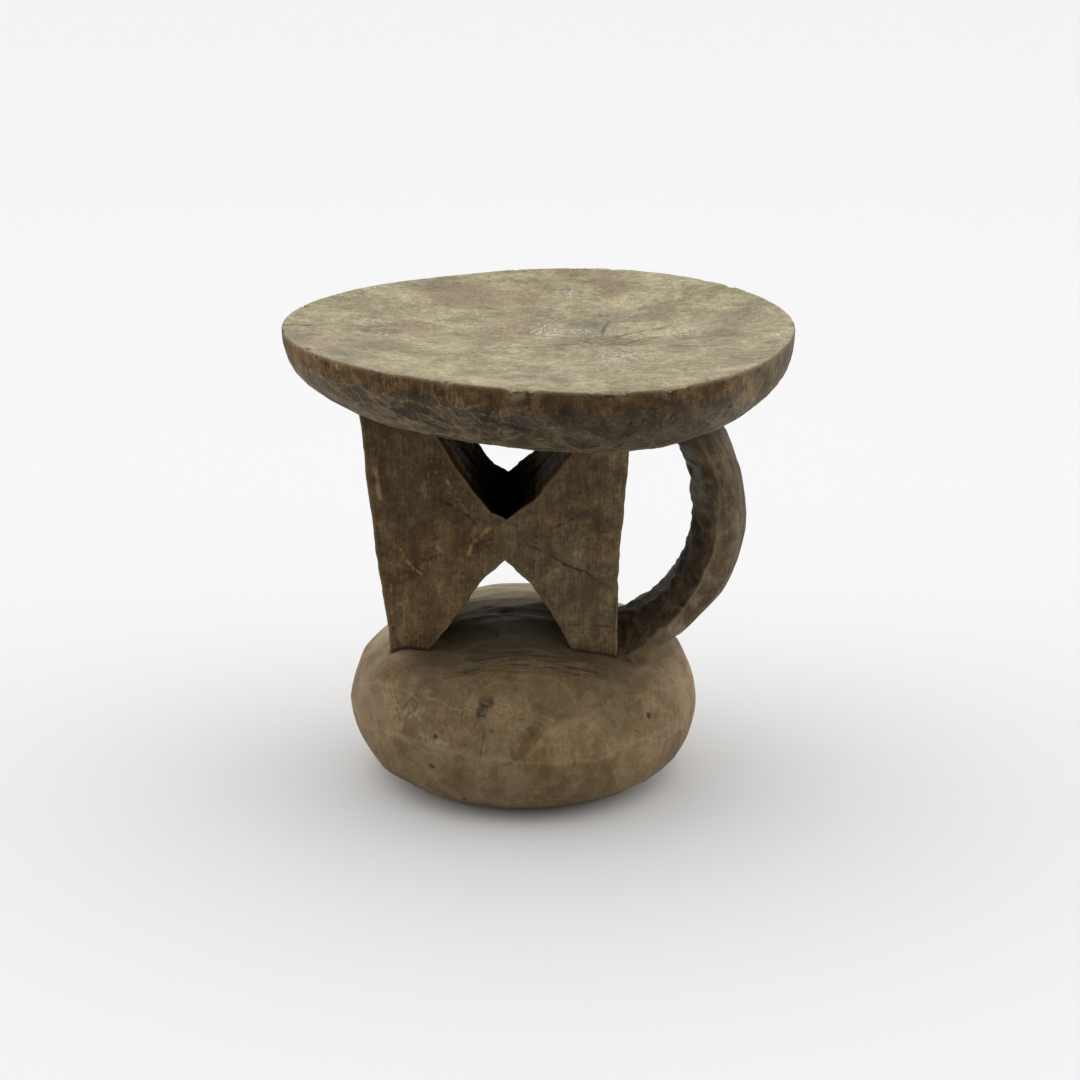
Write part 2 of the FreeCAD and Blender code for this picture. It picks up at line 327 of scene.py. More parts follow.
def strap_field(x, y, z):
    """The C-shaped strap: full in the middle of its inner face, bevelled outside."""
    across, up = x - HANDLE_MIDDLE[0], z - HANDLE_MIDDLE[1]
    radius = np.hypot(across, up)
    turn = np.degrees(np.arctan2(up, across))
    depth = np.interp(turn, (-80, -62, -45, 0, 35, 60), (42.5, 41, 38, 35, 36, 40))
    edge = np.interp(
        turn, (-80, -67, -60, -52, -20, 0, 15, 32, 60), (84, 80, 76.5, 74.5, 73.8, 76.5, 80.5, 84, 88)
    )
    from_middle = np.abs(y) / depth
    middle = np.interp(turn, (-75, -50, -15, 12, 45), (66, 65.8, 64, 65, 71))
    inner = middle + (edge - middle) * np.minimum(from_middle, 1.3) ** 1.8
    outer = np.interp(turn, (-75, -45, -20, 20, 60), (88, 91.3, 94.5, 96, 96.5))
    outer = outer - HANDLE_BEVEL * np.maximum(np.abs(y) - HANDLE_FLAT, 0)
    outside = smooth_max(radius - outer, np.abs(y) - depth, 9.0)
    strap = smooth_max(inner - radius, outside, 1.0)
    return np.maximum(strap, BLOCK_RIGHT - 9.0 - x)


def handle_field(x, y, z):
    """The strap with a worn fillet where it leaves the base."""
    strap = strap_field(x, y, z)
    outward = ease(55, 75, x)  # the root flows into the base on its outer side only
    reach = 2.0 + 10.0 * outward
    rooted = smooth_min(strap, base_field(x, y, z), reach)
    rooted = np.maximum(rooted, strap - reach)
    return let_in(rooted, x, y, z, seat_field, base_field, slab_field)


# -------------------------------- from a field to a fine mesh


def add_object(name, data):
    obj = bpy.data.objects.new(name, data)
    bpy.context.scene.collection.objects.link(obj)
    return obj


class Surface:
    """Vertices, outward quads and outward normals on the zero surface of a field."""

    def __init__(self, field, low, high, voxel):
        low = np.array(low) - 4 * voxel
        axes = [np.arange(a, b + 4 * voxel, voxel) for a, b in zip(low, high)]
        x, y, z = axes[0][:, None, None], axes[1][None, :, None], axes[2][None, None, :]
        shape = tuple(len(axis) for axis in axes)
        values = np.broadcast_to(field(x, y, z), shape)
        grid = openvdb.FloatGrid(4 * voxel)
        grid.copyFromArray(np.clip(values, -4 * voxel, 4 * voxel).astype(np.float32))
        points, self.quads = grid.convertToQuads(isovalue=0.0)
        self.points = points.astype(float) * voxel + low
        self.field = field
        for _ in range(2):
            slope, size = self.slope()
            value = field(*self.points.T)
            self.points -= np.clip(value / size, -voxel, voxel)[:, None] * slope
        self.normals = self.slope()[0]

    def slope(self, step=0.35):
        """Unit gradient of the field at each vertex, and its length."""
        gradient = np.empty_like(self.points)
        for axis in range(3):
            offset = np.zeros(3)
            offset[axis] = step
            ahead = self.field(*(self.points + offset).T)
            behind = self.field(*(self.points - offset).T)
            gradient[:, axis] = (ahead - behind) / (2 * step)
        size = np.maximum(np.sqrt((gradient**2).sum(1)), 1e-3)
        return gradient / size[:, None], size

    def push(self, amount):
        """Move every vertex outwards, in place: x, y and z read from points before this move too."""
        self.points += self.normals * np.asarray(amount)[:, None]

    def average(self, values, rounds):
        """Values averaged over the neighbouring vertices, several times over."""
        ends = [self.quads[:, k].astype(np.int64) for k in range(4)]
        count = len(self.points)
        shares = sum(np.bincount(end, minlength=count) for end in ends) * 2.0
        for _ in range(rounds):
            total = np.zeros(count)
            for k in range(4):
                total += np.bincount(ends[k], values[ends[k - 1]], count)
                total += np.bincount(ends[k - 1], values[ends[k]], count)
            values = total / shares
        return values

    def stands_out(self, rounds):
        """How far each vertex stands out from its surroundings, in millimetres."""
        mean = np.stack([self.average(self.points[:, k], rounds) for k in range(3)], 1)
        return ((self.points - mean) * self.normals).sum(1)

    def to_object(self, name, **layers):
        mesh = bpy.data.meshes.new(name)
        mesh.vertices.add(len(self.points))
        mesh.vertices.foreach_set("co", (self.points * MM).astype(np.float32).ravel())
        mesh.loops.add(self.quads.size)
        mesh.loops.foreach_set("vertex_index", self.quads.astype(np.int32).ravel())
        mesh.polygons.add(len(self.quads))
        mesh.polygons.foreach_set("loop_start", np.arange(0, self.quads.size, 4, dtype=np.int32))
        mesh.update(calc_edges=True)
        mesh.polygons.foreach_set("use_smooth", np.ones(len(self.quads), bool))
        for layer, values in layers.items():
            attribute = mesh.attributes.new(layer, "FLOAT", "POINT")
            attribute.data.foreach_set("value", np.asarray(values, np.float32))
        mesh.validate()
        return add_object(name, mesh)


def place(surface, name, node, slot, material, **layers):
    """Make the carved member that stands for a frame node, with its painted layers."""
    layers["wear"] = surface.stands_out(6)
    obj = surface.to_object(name, **layers)
    obj.data.materials.append(material)
    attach(obj, "root")
    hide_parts(node)


# -------------------------------- materials


COLOR_A, COLOR_B, MIXED = 6, 7, 2  # the Mix node's own colour sockets


class Nodes:
    """A node tree in the making: short calls that add a node and return one of its outputs."""

    def __init__(self, tree):
        self.tree = tree

    def feed(self, socket, value):
        """Link an output to a socket, or set the socket to a number, vector or colour."""
        if isinstance(value, bpy.types.NodeSocket):
            self.tree.links.new(value, socket)
        elif socket.type == "RGBA":
            socket.default_value = (*value, 1.0)
        else:
            socket.default_value = value

    def node(self, kind, inputs, output, **settings):
        """Add a node, apply its settings, feed its inputs and return one output."""
        node = self.tree.nodes.new("ShaderNode" + kind)
        for key, value in settings.items():
            setattr(node, key, value)
        for key, value in inputs.items():
            self.feed(node.inputs[key], value)
        return node.outputs[output]

    def math(self, operation, a, b=0.0, c=0.0):
        return self.node("Math", {0: a, 1: b, 2: c}, 0, operation=operation)

    def times(self, a, b):
        return self.math("MULTIPLY", a, b)

    def span(self, value, low, high, to_low=0.0, to_high=1.0, easing="SMOOTHSTEP"):
        """Map low..high onto to_low..to_high, eased and held at the ends."""
        ends = {"From Min": low, "From Max": high, "To Min": to_low, "To Max": to_high}
        return self.node("MapRange", {"Value": value, **ends}, "Result", interpolation_type=easing)


class Wood(Nodes):
    """A wood material's own nodes, laid out on the object's coordinates."""

    def __init__(self, name):
        self.material = bpy.data.materials.new(name)
        self.material.use_nodes = True
        super().__init__(self.material.node_tree)
        self.tree.nodes.clear()
        self.coords = self.node("TexCoord", {}, "Object")

    def layer(self, name):
        """A value painted on the mesh's vertices; 0 where the mesh has no such layer."""
        return self.node("Attribute", {}, "Fac", attribute_name=name)

    def along(self, axis):
        """One of the object's coordinates, in metres."""
        return self.node("SeparateXYZ", {0: self.coords}, axis)

    def stretch(self, factors, turn=0.0):
        """The object's coordinates, turned about Z and then scaled."""
        inputs = {"Vector": self.coords, "Rotation": (0, 0, turn), "Scale": factors}
        return self.node("Mapping", inputs, "Vector")

    def noise(self, size_mm, shift, vector=None, detail=4.0, rough=0.55, distort=0.0):
        """Noise from 0 to 1 with features about size_mm across; each shift has its own pattern."""
        inputs = {
            "Vector": vector or self.coords, "W": shift, "Scale": 1 / (size_mm * MM),
            "Detail": detail, "Roughness": rough, "Distortion": distort,
        }
        return self.node("TexNoise", inputs, "Fac", noise_dimensions="4D")

    def mix(self, factor, a, b, blend="MIX"):
        inputs = {"Factor": factor, COLOR_A: a, COLOR_B: b}
        return self.node("Mix", inputs, MIXED, data_type="RGBA", blend_type=blend)

    def shade(self, color, amount):
        """Multiply a colour by a plain amount."""
        gray = self.node("CombineColor", {0: amount, 1: amount, 2: amount}, 0)
        return self.mix(1.0, color, gray, "MULTIPLY")

    def hairlines(self, size_mm, shift, vector, width, cover):
        """1 along thin wandering lines, in patches only."""
        wander = self.noise(size_mm, shift, vector, detail=2.0)
        line = self.math("ABSOLUTE", self.math("SUBTRACT", wander, 0.5))
        line = self.span(line, 0.0, width, 1.0, 0.0)
        patch = self.noise(size_mm * 1.7, shift + 5, detail=1.0)
        return self.times(line, self.span(patch, *cover))

    def flecks(self, size_mm, shift, rare, vector=None):
        """1 on small scattered flecks; rare is how seldom they come, from 0.5 to 0.8."""
        return self.span(self.noise(size_mm, shift, vector, detail=2.0), rare, rare + 0.05)

    def bump(self, height_mm, height, below=None):
        """Raise the shading by height_mm where height is 1, on top of the bumps below."""
        inputs = {"Strength": 1.0, "Distance": height_mm * MM, "Height": height}
        if below is not None:
            inputs["Normal"] = below
        return self.node("Bump", inputs, "Normal")

    def finish(self, color, roughness, normal, specular):
        inputs = {
            "Base Color": color, "Roughness": roughness, "Normal": normal,
            "Specular IOR Level": specular,
        }
        shader = self.node("BsdfPrincipled", inputs, "BSDF")
        self.feed(self.tree.nodes.new("ShaderNodeOutputMaterial").inputs["Surface"], shader)
        return self.material


GRAIN = (1.0, 1.0, 0.06)  # grain runs up the log, so it is drawn out along Z
BLACK = (0.003, 0.0025, 0.002)
SPECK_MM = 0.14  # bump height of the finest specks
LINE_MM = 0.35  # bump depth of the hairlines


class AgedWood:
    """The ground all the carved members share: blotches of three browns, mottling and grain."""

    def __init__(self, name, browns, shift, patch_mm=34.0, grain=0.3, smudge=0.3, fine=1.0):
        dark, mid, self.pale = browns
        self.wood = wood = Wood(name)
        blotch = wood.noise(patch_mm, shift, detail=6.0, rough=0.66, distort=0.7)
        self.mottle = wood.noise(6.0, shift + 1, detail=6.0, rough=0.7)
        self.grain = wood.noise(1.3, shift + 2, wood.stretch(GRAIN), detail=5.0, rough=0.62)
        self.speck = wood.noise(1.5, shift + 3, detail=4.0, rough=0.7)
        self.color = wood.mix(wood.span(blotch, 0.36, 0.6), dark, mid)
        self.cover(wood.span(self.mottle, 0.46, 0.7, 0.0, 0.55), self.pale)
        smudges = wood.noise(11.0, shift + 11, wood.stretch((1, 1, 0.6)), detail=6.0, rough=0.7)
        where = wood.span(wood.noise(20.0, shift + 4, detail=2.0), 0.35, 0.65, 0.25, 1.0)
        streak = wood.times(wood.math("SUBTRACT", wood.span(self.grain, 0.3, 0.7), 0.5), where)
        uneven = wood.math("MULTIPLY_ADD", streak, 2 * grain, 1.0)
        uneven = wood.times(uneven, wood.span(smudges, 0.34, 0.66, 1 - smudge, 1 + smudge))
        speckled = wood.span(self.speck, 0.34, 0.66, 1 - 0.32 * fine, 1 + 0.32 * fine)
        self.uneven = wood.times(uneven, speckled)  # smudges, grain and specks as one amount
        self.shade(self.uneven)
        flecks = wood.flecks(1.6, shift + 7, 0.62, wood.stretch((1, 1, 0.35)))
        self.cover(wood.times(flecks, 0.5 * fine), self.pale)
        pits = wood.flecks(1.5, shift + 9, 0.64)
        self.cover(wood.times(pits, 0.6 * fine), BLACK)

    def cover(self, amount, color):
        """Mix a colour in, by an amount from 0 to 1."""
        self.color = self.wood.mix(amount, self.color, color)

    def shade(self, amount):
        self.color = self.wood.shade(self.color, amount)

    def paint(self, **colors):
        """Mix colours in where their layers are painted on the mesh."""
        for layer, color in colors.items():
            self.cover(self.wood.layer(layer), color)

    def wear(self, amount=0.45, high=0.22):
        """Lighten what stands out and darken what lies deep."""
        wear = self.wood.layer("wear")
        self.cover(self.wood.span(wear, 0.03, high, 0.0, amount), self.pale)
        self.shade(self.wood.span(wear, -0.2, -0.02, 0.5, 1.0))

    def tones(self, share):
        """Give each tool cut a slightly different tone."""
        self.shade(self.wood.span(self.wood.layer("tone"), -1, 1, 1 - share, 1 + share))

    def ridges(self, share, color=None):
        """Lighten the ridges between tool cuts."""
        self.cover(self.wood.times(self.wood.layer("ridge"), share), color or self.pale)

    def finish(self, grain_mm=0.2, mottle_mm=0.45, rough=(0.6, 0.8), lines=None):
        """Painted shade with some crevice grime near the neighbours, painted shade in the notch, bump
        and roughness.
        """
        wood = self.wood
        # Darken by the layer of painted shade near neighbouring members, which holds some crevice grime
        # too.
        self.shade(wood.span(wood.layer("grime"), 0.0, 1.0, 1.0, 0.35))
        # Blacken the notch's walls where painted shade is laid on them.
        self.paint(soot=BLACK)
        normal = wood.bump(mottle_mm, self.mottle)
        normal = wood.bump(grain_mm, self.grain, normal)
        normal = wood.bump(SPECK_MM, self.speck, normal)
        if lines is not None:
            normal = wood.bump(LINE_MM, wood.math("SUBTRACT", 1.0, lines), normal)
        roughness = wood.span(self.mottle, 0.3, 0.7, *rough)
        # Where the notch is blackened with painted shade, its specular highlight is taken away too.
        specular = wood.span(wood.layer("soot"), 0.0, 0.6, 0.13, 0.0)
        return wood.finish(self.color, roughness, normal, specular)


def panel_wood():
    """The block: dark brown with drab patches on its right, scuffed and scratched, with painted shade
    towards the seat and in the notch.
    """
    browns = (0.047, 0.026, 0.011), (0.092, 0.0555, 0.0245), (0.16, 0.104, 0.05)
    aged = AgedWood("block_wood", browns, 41.0, grain=0.26, fine=0.7)
    wood = aged.wood
    across, height = wood.along("X"), wood.along("Z")
    right = wood.span(across, -0.05, 0.03, 0.3, 1.0)
    olive = wood.span(wood.noise(45.0, 46.0, detail=5.0), 0.36, 0.58, 0.1, 0.75)
    drab = wood.mix(wood.span(aged.mottle, 0.4, 0.66), (0.088, 0.066, 0.036), (0.148, 0.112, 0.062))
    aged.cover(wood.times(olive, right), wood.shade(drab, aged.uneven))
    dusk = wood.noise(26.0, 47.0, detail=6.0, rough=0.65, distort=0.5)
    aged.cover(wood.span(dusk, 0.5, 0.66, 0.0, 0.6), (0.045, 0.031, 0.018))
    scuffs = wood.flecks(2.0, 48.0, 0.62, wood.stretch((1, 1, 0.3)))
    scuffs = wood.times(scuffs, wood.span(wood.noise(22.0, 51.0, detail=2.0), 0.5, 0.62))
    aged.cover(wood.times(scuffs, 0.6), (0.24, 0.165, 0.08))
    lines = wood.hairlines(7.0, 49.0, wood.stretch((1, 1, 0.1)), 0.006, (0.55, 0.64))
    aged.cover(wood.times(lines, 0.5), (0.018, 0.014, 0.01))
    # Painted shade: darker towards the seat above and lighter low down, except at the right foot.
    aged.shade(wood.span(height, 0.09, 0.17, 1.48, 0.98))
    aged.shade(wood.span(across, 0.0, 0.045, 1.0, 1.2))
    foot = wood.times(wood.span(across, 0.0, 0.03), wood.span(height, 0.1, 0.15, 0.3, 0.0))
    aged.shade(wood.math("SUBTRACT", 1.0, foot))
    aged.wear()
    aged.tones(0.08)
    # The grey mix that follows the glints is a painted highlight in the notch.
    aged.paint(bare=(0.27, 0.175, 0.075), dust=(0.1, 0.092, 0.062), mark=(0.022, 0.021, 0.018))
    return aged.finish(lines=lines)


def handle_wood():
    """The handle: dark brown, smoother than the block from being held."""
    browns = (0.094, 0.065, 0.034), (0.185, 0.132, 0.076), (0.31, 0.238, 0.148)
    aged = AgedWood("handle_wood", browns, 75.0, smudge=0.26, fine=0.5)
    aged.wear(0.35)
    aged.tones(0.22)
    aged.ridges(0.34)
    # The pale grey mix is a painted sheen on the upper inner face.
    aged.paint(bare=(0.19, 0.133, 0.067), dust=(0.27, 0.255, 0.205), mark=(0.018, 0.016, 0.014))
    return aged.finish()


def base_wood():
    """The base: softly worn taupe with pinkish and amber patches."""
    browns = (0.142, 0.088, 0.037), (0.205, 0.141, 0.07), (0.29, 0.215, 0.125)
    aged = AgedWood("base_wood", browns, 31.0, 26.0, grain=0.12, smudge=0.14, fine=0.38)
    wood = aged.wood
    pinkish = wood.noise(24.0, 37.0, distort=0.6)
    aged.cover(wood.span(pinkish, 0.5, 0.66, 0.0, 0.6), (0.235, 0.17, 0.112))
    amber = wood.noise(20.0, 38.0, distort=0.6)
    aged.cover(wood.span(amber, 0.55, 0.7, 0.0, 0.5), (0.16, 0.1, 0.04))
    # Pale dust on the upward faces at the back, partly painted light where light from behind reaches.
    dust = wood.times(wood.layer("dust"), wood.span(aged.mottle, 0.3, 0.6, 0.6, 1.0))
    aged.cover(dust, (0.5, 0.43, 0.255))
    lines = wood.hairlines(13.0, 33.0, wood.stretch((1, 1, 0.22)), 0.0035, (0.45, 0.6))
    aged.cover(wood.times(lines, 0.55), (0.03, 0.02, 0.012))
    aged.wear(0.4)
    aged.shade(wood.span(wood.along("Z"), 0.015, 0.055, 0.88, 1.06))
    aged.shade(wood.span(wood.along("X"), 0.0, 0.08, 1.0, 1.08))
    aged.tones(0.12)
    aged.ridges(0.34, (0.34, 0.265, 0.175))
    # The dark greenish mix is a painted shadow under the block and the seat.
    aged.paint(bare=(0.42, 0.34, 0.25), moss=(0.06, 0.056, 0.036), mark=(0.035, 0.027, 0.019))
    return aged.finish(0.1, 0.4, (0.52, 0.75), lines)


def sitting_face(wood):
    """The colour of the seat's dusty khaki top, and the scratches on it from 0 to 1."""
    cloud = wood.noise(34.0, 61.0, detail=8.0, rough=0.74, distort=0.6)
    fleck = wood.noise(5.0, 62.0, wood.stretch((0.75, 1, 1), 0.25), detail=7.0, rough=0.76)
    pores = wood.noise(1.7, 63.0, rough=0.7)
    color = wood.mix(wood.span(cloud, 0.35, 0.64), (0.25, 0.212, 0.13), (0.44, 0.389, 0.241))
    pink = wood.noise(20.0, 64.0, detail=6.0, rough=0.7, distort=0.8)
    ragged = wood.span(fleck, 0.36, 0.6, 0.25, 1.0)
    rosy = wood.times(wood.layer("rosy"), ragged)
    rosy = wood.math("MAXIMUM", wood.span(pink, 0.53, 0.68, 0.0, 0.4), rosy)
    color = wood.mix(rosy, color, (0.27, 0.182, 0.115))
    ash = wood.noise(17.0, 65.0, detail=6.0, rough=0.7, distort=0.8)
    dusk = wood.times(wood.layer("dusk"), ragged)
    dusk = wood.math("MAXIMUM", wood.span(ash, 0.55, 0.7, 0.0, 0.5), dusk)
    color = wood.mix(dusk, color, (0.2, 0.185, 0.14))
    color = wood.shade(color, wood.span(fleck, 0.34, 0.66, 0.78, 1.2))
    color = wood.shade(color, wood.span(pores, 0.34, 0.66, 0.77, 1.23))
    color = wood.shade(color, wood.span(wood.layer("ray"), -0.8, 0.8, 0.93, 1.07))
    yellow = wood.times(wood.flecks(2.2, 66.0, 0.565), wood.layer("yolk"))
    color = wood.mix(yellow, color, (0.62, 0.52, 0.24))
    white = wood.times(wood.flecks(1.9, 70.0, 0.585), wood.layer("bits"))
    white = wood.math("MAXIMUM", white, wood.times(wood.flecks(1.8, 72.0, 0.675), 0.7))
    color = wood.mix(white, color, (0.8, 0.76, 0.68))
    scratches = 0.0
    for turn, size_mm, shift in ((0.3, 5.0, 67.0), (-0.45, 6.5, 68.0), (1.25, 5.5, 69.0)):
        scratch = wood.hairlines(size_mm, shift, wood.stretch((0.1, 1, 1), turn), 0.008, (0.54, 0.66))
        scratches = wood.math("MAXIMUM", scratches, scratch)
    color = wood.mix(wood.times(scratches, 0.4), color, (0.12, 0.09, 0.055))
    worn = wood.span(wood.layer("wear"), 0.02, 0.2, 0.0, 0.35)
    return wood.mix(worn, color, (0.42, 0.36, 0.22)), scratches


def seat_wood():
    """The seat: a khaki top over an adzed dark side with a warm, streaky band under the rim."""
    browns = (0.034, 0.0245, 0.0132), (0.082, 0.06, 0.034), (0.158, 0.119, 0.07)
    aged = AgedWood("seat_wood", browns, 51.0, 13.0, smudge=0.4)
    wood = aged.wood
    patch = wood.noise(9.0, 58.0, detail=5.0, rough=0.65, distort=0.4)
    warm = wood.mix(wood.span(patch, 0.38, 0.58), (0.026, 0.0145, 0.005), (0.08, 0.0425, 0.0135))
    streaks = wood.span(aged.grain, 0.48, 0.66, 0.0, 0.55)
    streaks = wood.times(streaks, wood.span(wood.noise(18.0, 59.0), 0.45, 0.6))
    warm = wood.mix(streaks, warm, (0.185, 0.115, 0.042))
    aged.cover(wood.times(wood.layer("band"), 0.85), wood.shade(warm, aged.uneven))
    lines = wood.hairlines(9.0, 53.0, wood.stretch((1, 1, 0.12)), 0.008, (0.52, 0.64))
    aged.cover(wood.times(lines, 0.5), (0.015, 0.012, 0.01))
    dusky = wood.shade((0.03, 0.0245, 0.018), aged.uneven)
    aged.cover(wood.times(wood.layer("dusk"), 0.5), dusky)
    aged.wear(0.3, 0.3)
    # Painted light: the seat's side is lightened towards its left and right ends, where more light
    # falls from the sides.
    aged.shade(wood.span(wood.layer("flank"), 0.0, 1.0, 1.0, 1.6))
    aged.tones(0.28)
    aged.ridges(0.9, (0.23, 0.172, 0.105))
    aged.paint(lip=(0.2, 0.142, 0.07))
    sitting = wood.layer("sitting")
    top, scratches = sitting_face(wood)
    aged.cover(sitting, top)
    aged.paint(bare=(0.36, 0.28, 0.17), mark=(0.03, 0.024, 0.017))
    lines = wood.times(lines, wood.math("SUBTRACT", 1.0, sitting))
    lines = wood.math("MAXIMUM", lines, wood.times(scratches, 0.5))
    return aged.finish(0.16, 0.28, (0.58, 0.76), lines)


# -------------------------------- carving each member


def near(distance, reach):
    """1 against a neighbouring member, fading to 0 at reach millimetres from it."""
    return np.clip(1 - distance / reach, 0, 1) ** 1.5


def blend_cuts(share, cuts, others):
    """Tool cuts (height, ridge, tone) where share is 1, and the others where it is 0."""
    return [other + share * (cut - other) for cut, other in zip(cuts, others)]


PITH = (46.0, -9.0)  # x and y of the log's heart, where the seat's rays meet
HEART_RADIUS = 9.0  # of the ring of crumbled wood around it

# Marks listed in millimetres: strength, width and path, or strength, radius and middle.
SEAT_CRACKS = (
    (1.0, 2.1, ((-137, -16, 276), (-119, -8, 275), (-105, -7, 274), (-88, -3, 272))),
    (0.7, 1.1, ((65, -20, 266), (70, -12, 266), (75, -4, 266))),
    (0.5, 1.0, ((118, -10, 269), (126, 10, 269))),
    (0.9, 1.6, ((93, -132, 252), (110, -119, 257), (119, -107, 259), (132, -84, 261))),
    (0.8, 1.5, ((57, -151, 256), (54, -146, 248))),
    (0.8, 1.4, ((64, -150, 257), (60, -147, 251), (56, -145, 246))),
    (0.9, 1.5, ((79, -145, 259), (73, -142, 251))), (0.9, 1.8, ((-118, -73, 277), (-117, -78, 268))),
    (1.0, 1.8, ((-76, -113, 275), (-77, -117, 265), (-75, -117, 256))),
    (1.0, 1.8, ((-40, -129, 274), (-41, -134, 264))), (0.7, 1.6, ((4, -147, 273), (3, -150, 262))),
    (0.5, 1.0, ((40, 60, 268), (52, 66, 268))),
    (0.8, 1.9, ((52, -48, 266), (57, -53, 266), (60, -61, 267))),
    (0.8, 1.9, ((58, -17, 265), (66, -8, 265), (78, -1, 266))),
    (0.8, 1.9, ((52, 1, 265), (64, 11, 265), (83, 21, 266))),
    (0.8, 1.9, ((45, 6, 265), (47, 26, 265), (50, 39, 266))),
    (0.8, 1.9, ((32, -3, 265), (15, 3, 265), (-2, 12, 266))),
    (0.8, 1.9, ((30, -16, 265), (8, -24, 265), (-14, -29, 266))),
    (0.8, 1.9, ((50, -24, 265), (62, -44, 266), (68, -62, 267))),
    (0.8, 1.9, ((84, -24, 267), (108, -36, 268))),
)
SEAT_BITES = (
    (3.0, 5.4, (-5, -148, 273)), (2.6, 4.6, (3, -151, 273)), (2.6, 4.4, (46, -154, 274)),
    (2.0, 3.6, (53, -154, 273)), (2.0, 3.2, (-40, -132, 274)), (1.3, 2.6, (-118, -75, 277)),
    (1.4, 2.6, (-76, -115, 275)), (2.0, 4.2, (78, -148, 273)), (1.3, 3.0, (85, -144, 272)),
    (1.2, 3.4, (140, -52, 274)),
)
# Patches of the sitting face: strength, radius, and x and y of the middle.
SEAT_ROSY = (
    (1.0, 28, (-36, 92)), (0.8, 16, (-3, 88)), (0.9, 15, (57, 113)), (0.8, 12, (29, 139)),
    (0.6, 17, (4, 26)), (0.6, 13, (-17, 11)), (0.7, 16, (-66, 11)), (0.8, 17, (-118, -56)),
    (0.6, 13, (-88, -49)), (0.5, 20, (-92, 58)), (0.5, 16, (112, -52)),
)
SEAT_DUSK = (
    (0.8, 9, (-3, -108)), (0.8, 9, (20, -117)), (0.6, 16, (38, 24)), (0.6, 14, (62, 49)),
    (0.6, 12, (29, -6)), (0.7, 15, (-128, -38)), (0.5, 16, (-100, -80)), (0.5, 18, (120, 40)),
)
SEAT_BITS = (
    (1.0, 8, (-84, -13)), (1.0, 6, (-59, -32)), (0.8, 9, (-84, 22)), (0.9, 7, (-51, 33)),
    (0.9, 15, (14, 20)), (0.8, 11, (30, 14)), (0.9, 13, (92, 8)), (0.8, 12, (72, 4)),
    (1.0, 6, (26, 102)), (1.0, 9, (148, -18)), (0.8, 15, (52, -52)), (0.7, 12, (-66, 81)),
)
SEAT_YOLK = (
    (1.0, 8, (-22, -50)), (0.9, 6, (-59, 75)), (1.0, 8, (109, 62)), (0.8, 9, (-108, 80)),
    (0.8, 5, (-113, 13)), (0.8, 6, (66, -72)), (0.8, 6, (-32, -61)),
)


def seat_side(seat, outline, angle, below_rim, sway, webbed):
    """The seat's side and underside: height left by the tool, ridges and tones of the cuts."""
    x, y, z = seat.points.T
    down = below_rim + 110 * (1 - outline)
    around = SEAT_HALF_DEPTH * (angle + 0.06 * np.sin(down * 0.12))
    chops = tool_cuts(24, around + sway, down + 2 + sway, (11.2, 9), (140, 45), 0.07, 0.5, 84)
    scrapes = tool_cuts(25, around, down + 20, (15.1, 42), (90, 400), 0.03, 0.4, 63)
    under = tool_cuts(29, x, y, (20, 15), (90, 90), 0.04, 0.5)
    left_side = ease(0.0, 0.45, np.cos(angle + 2.6))
    cuts, ridge, tone = blend_cuts(left_side, chops, scrapes)
    ridge = ridge**2.1 * (0.2 + 0.8 * webbed)
    facing_down = ease(0.75, 0.92, -seat.normals[:, 2])
    cuts, ridge, tone = blend_cuts(facing_down, under, (cuts, ridge, tone))
    below_band = ease(5, 15, below_rim)  # the band under the rim has no cuts
    rough = 0.1 * layered_noise(26, (2.6, 2.6, 8.0), x, y, z)
    return cuts * below_band + rough, ridge * below_band, tone * below_band


def seat_top(x, y, sway):
    """The sitting face: its height, the log's rays from -1 to 1 and its crumbled heart."""
    swell = 0.5 * layered_noise(21, 70, x, y, layers=2) + 0.12 * smooth_noise(22, 16, x, y)
    faint = tool_cuts(23, x, y, (24, 18), (260, 200), tilt=0.01, depth=0.1)[0]
    from_pith = np.hypot(x - PITH[0], y - PITH[1])
    pith_angle = np.arctan2(y - PITH[1], x - PITH[0])
    ray = layered_noise(64, (2.0, 12), 64 * pith_angle + 2 * sway, from_pith + 3 * sway)
    crumbs = smooth_noise(65, 2.6, x, y)
    heart = np.exp(-(((from_pith - HEART_RADIUS) / 5.5) ** 2)) * ease(-0.5, 0.3, crumbs)
    return swell + 0.5 * faint + 0.05 * ray + 0.07 * crumbs - 0.6 * heart, ray, heart


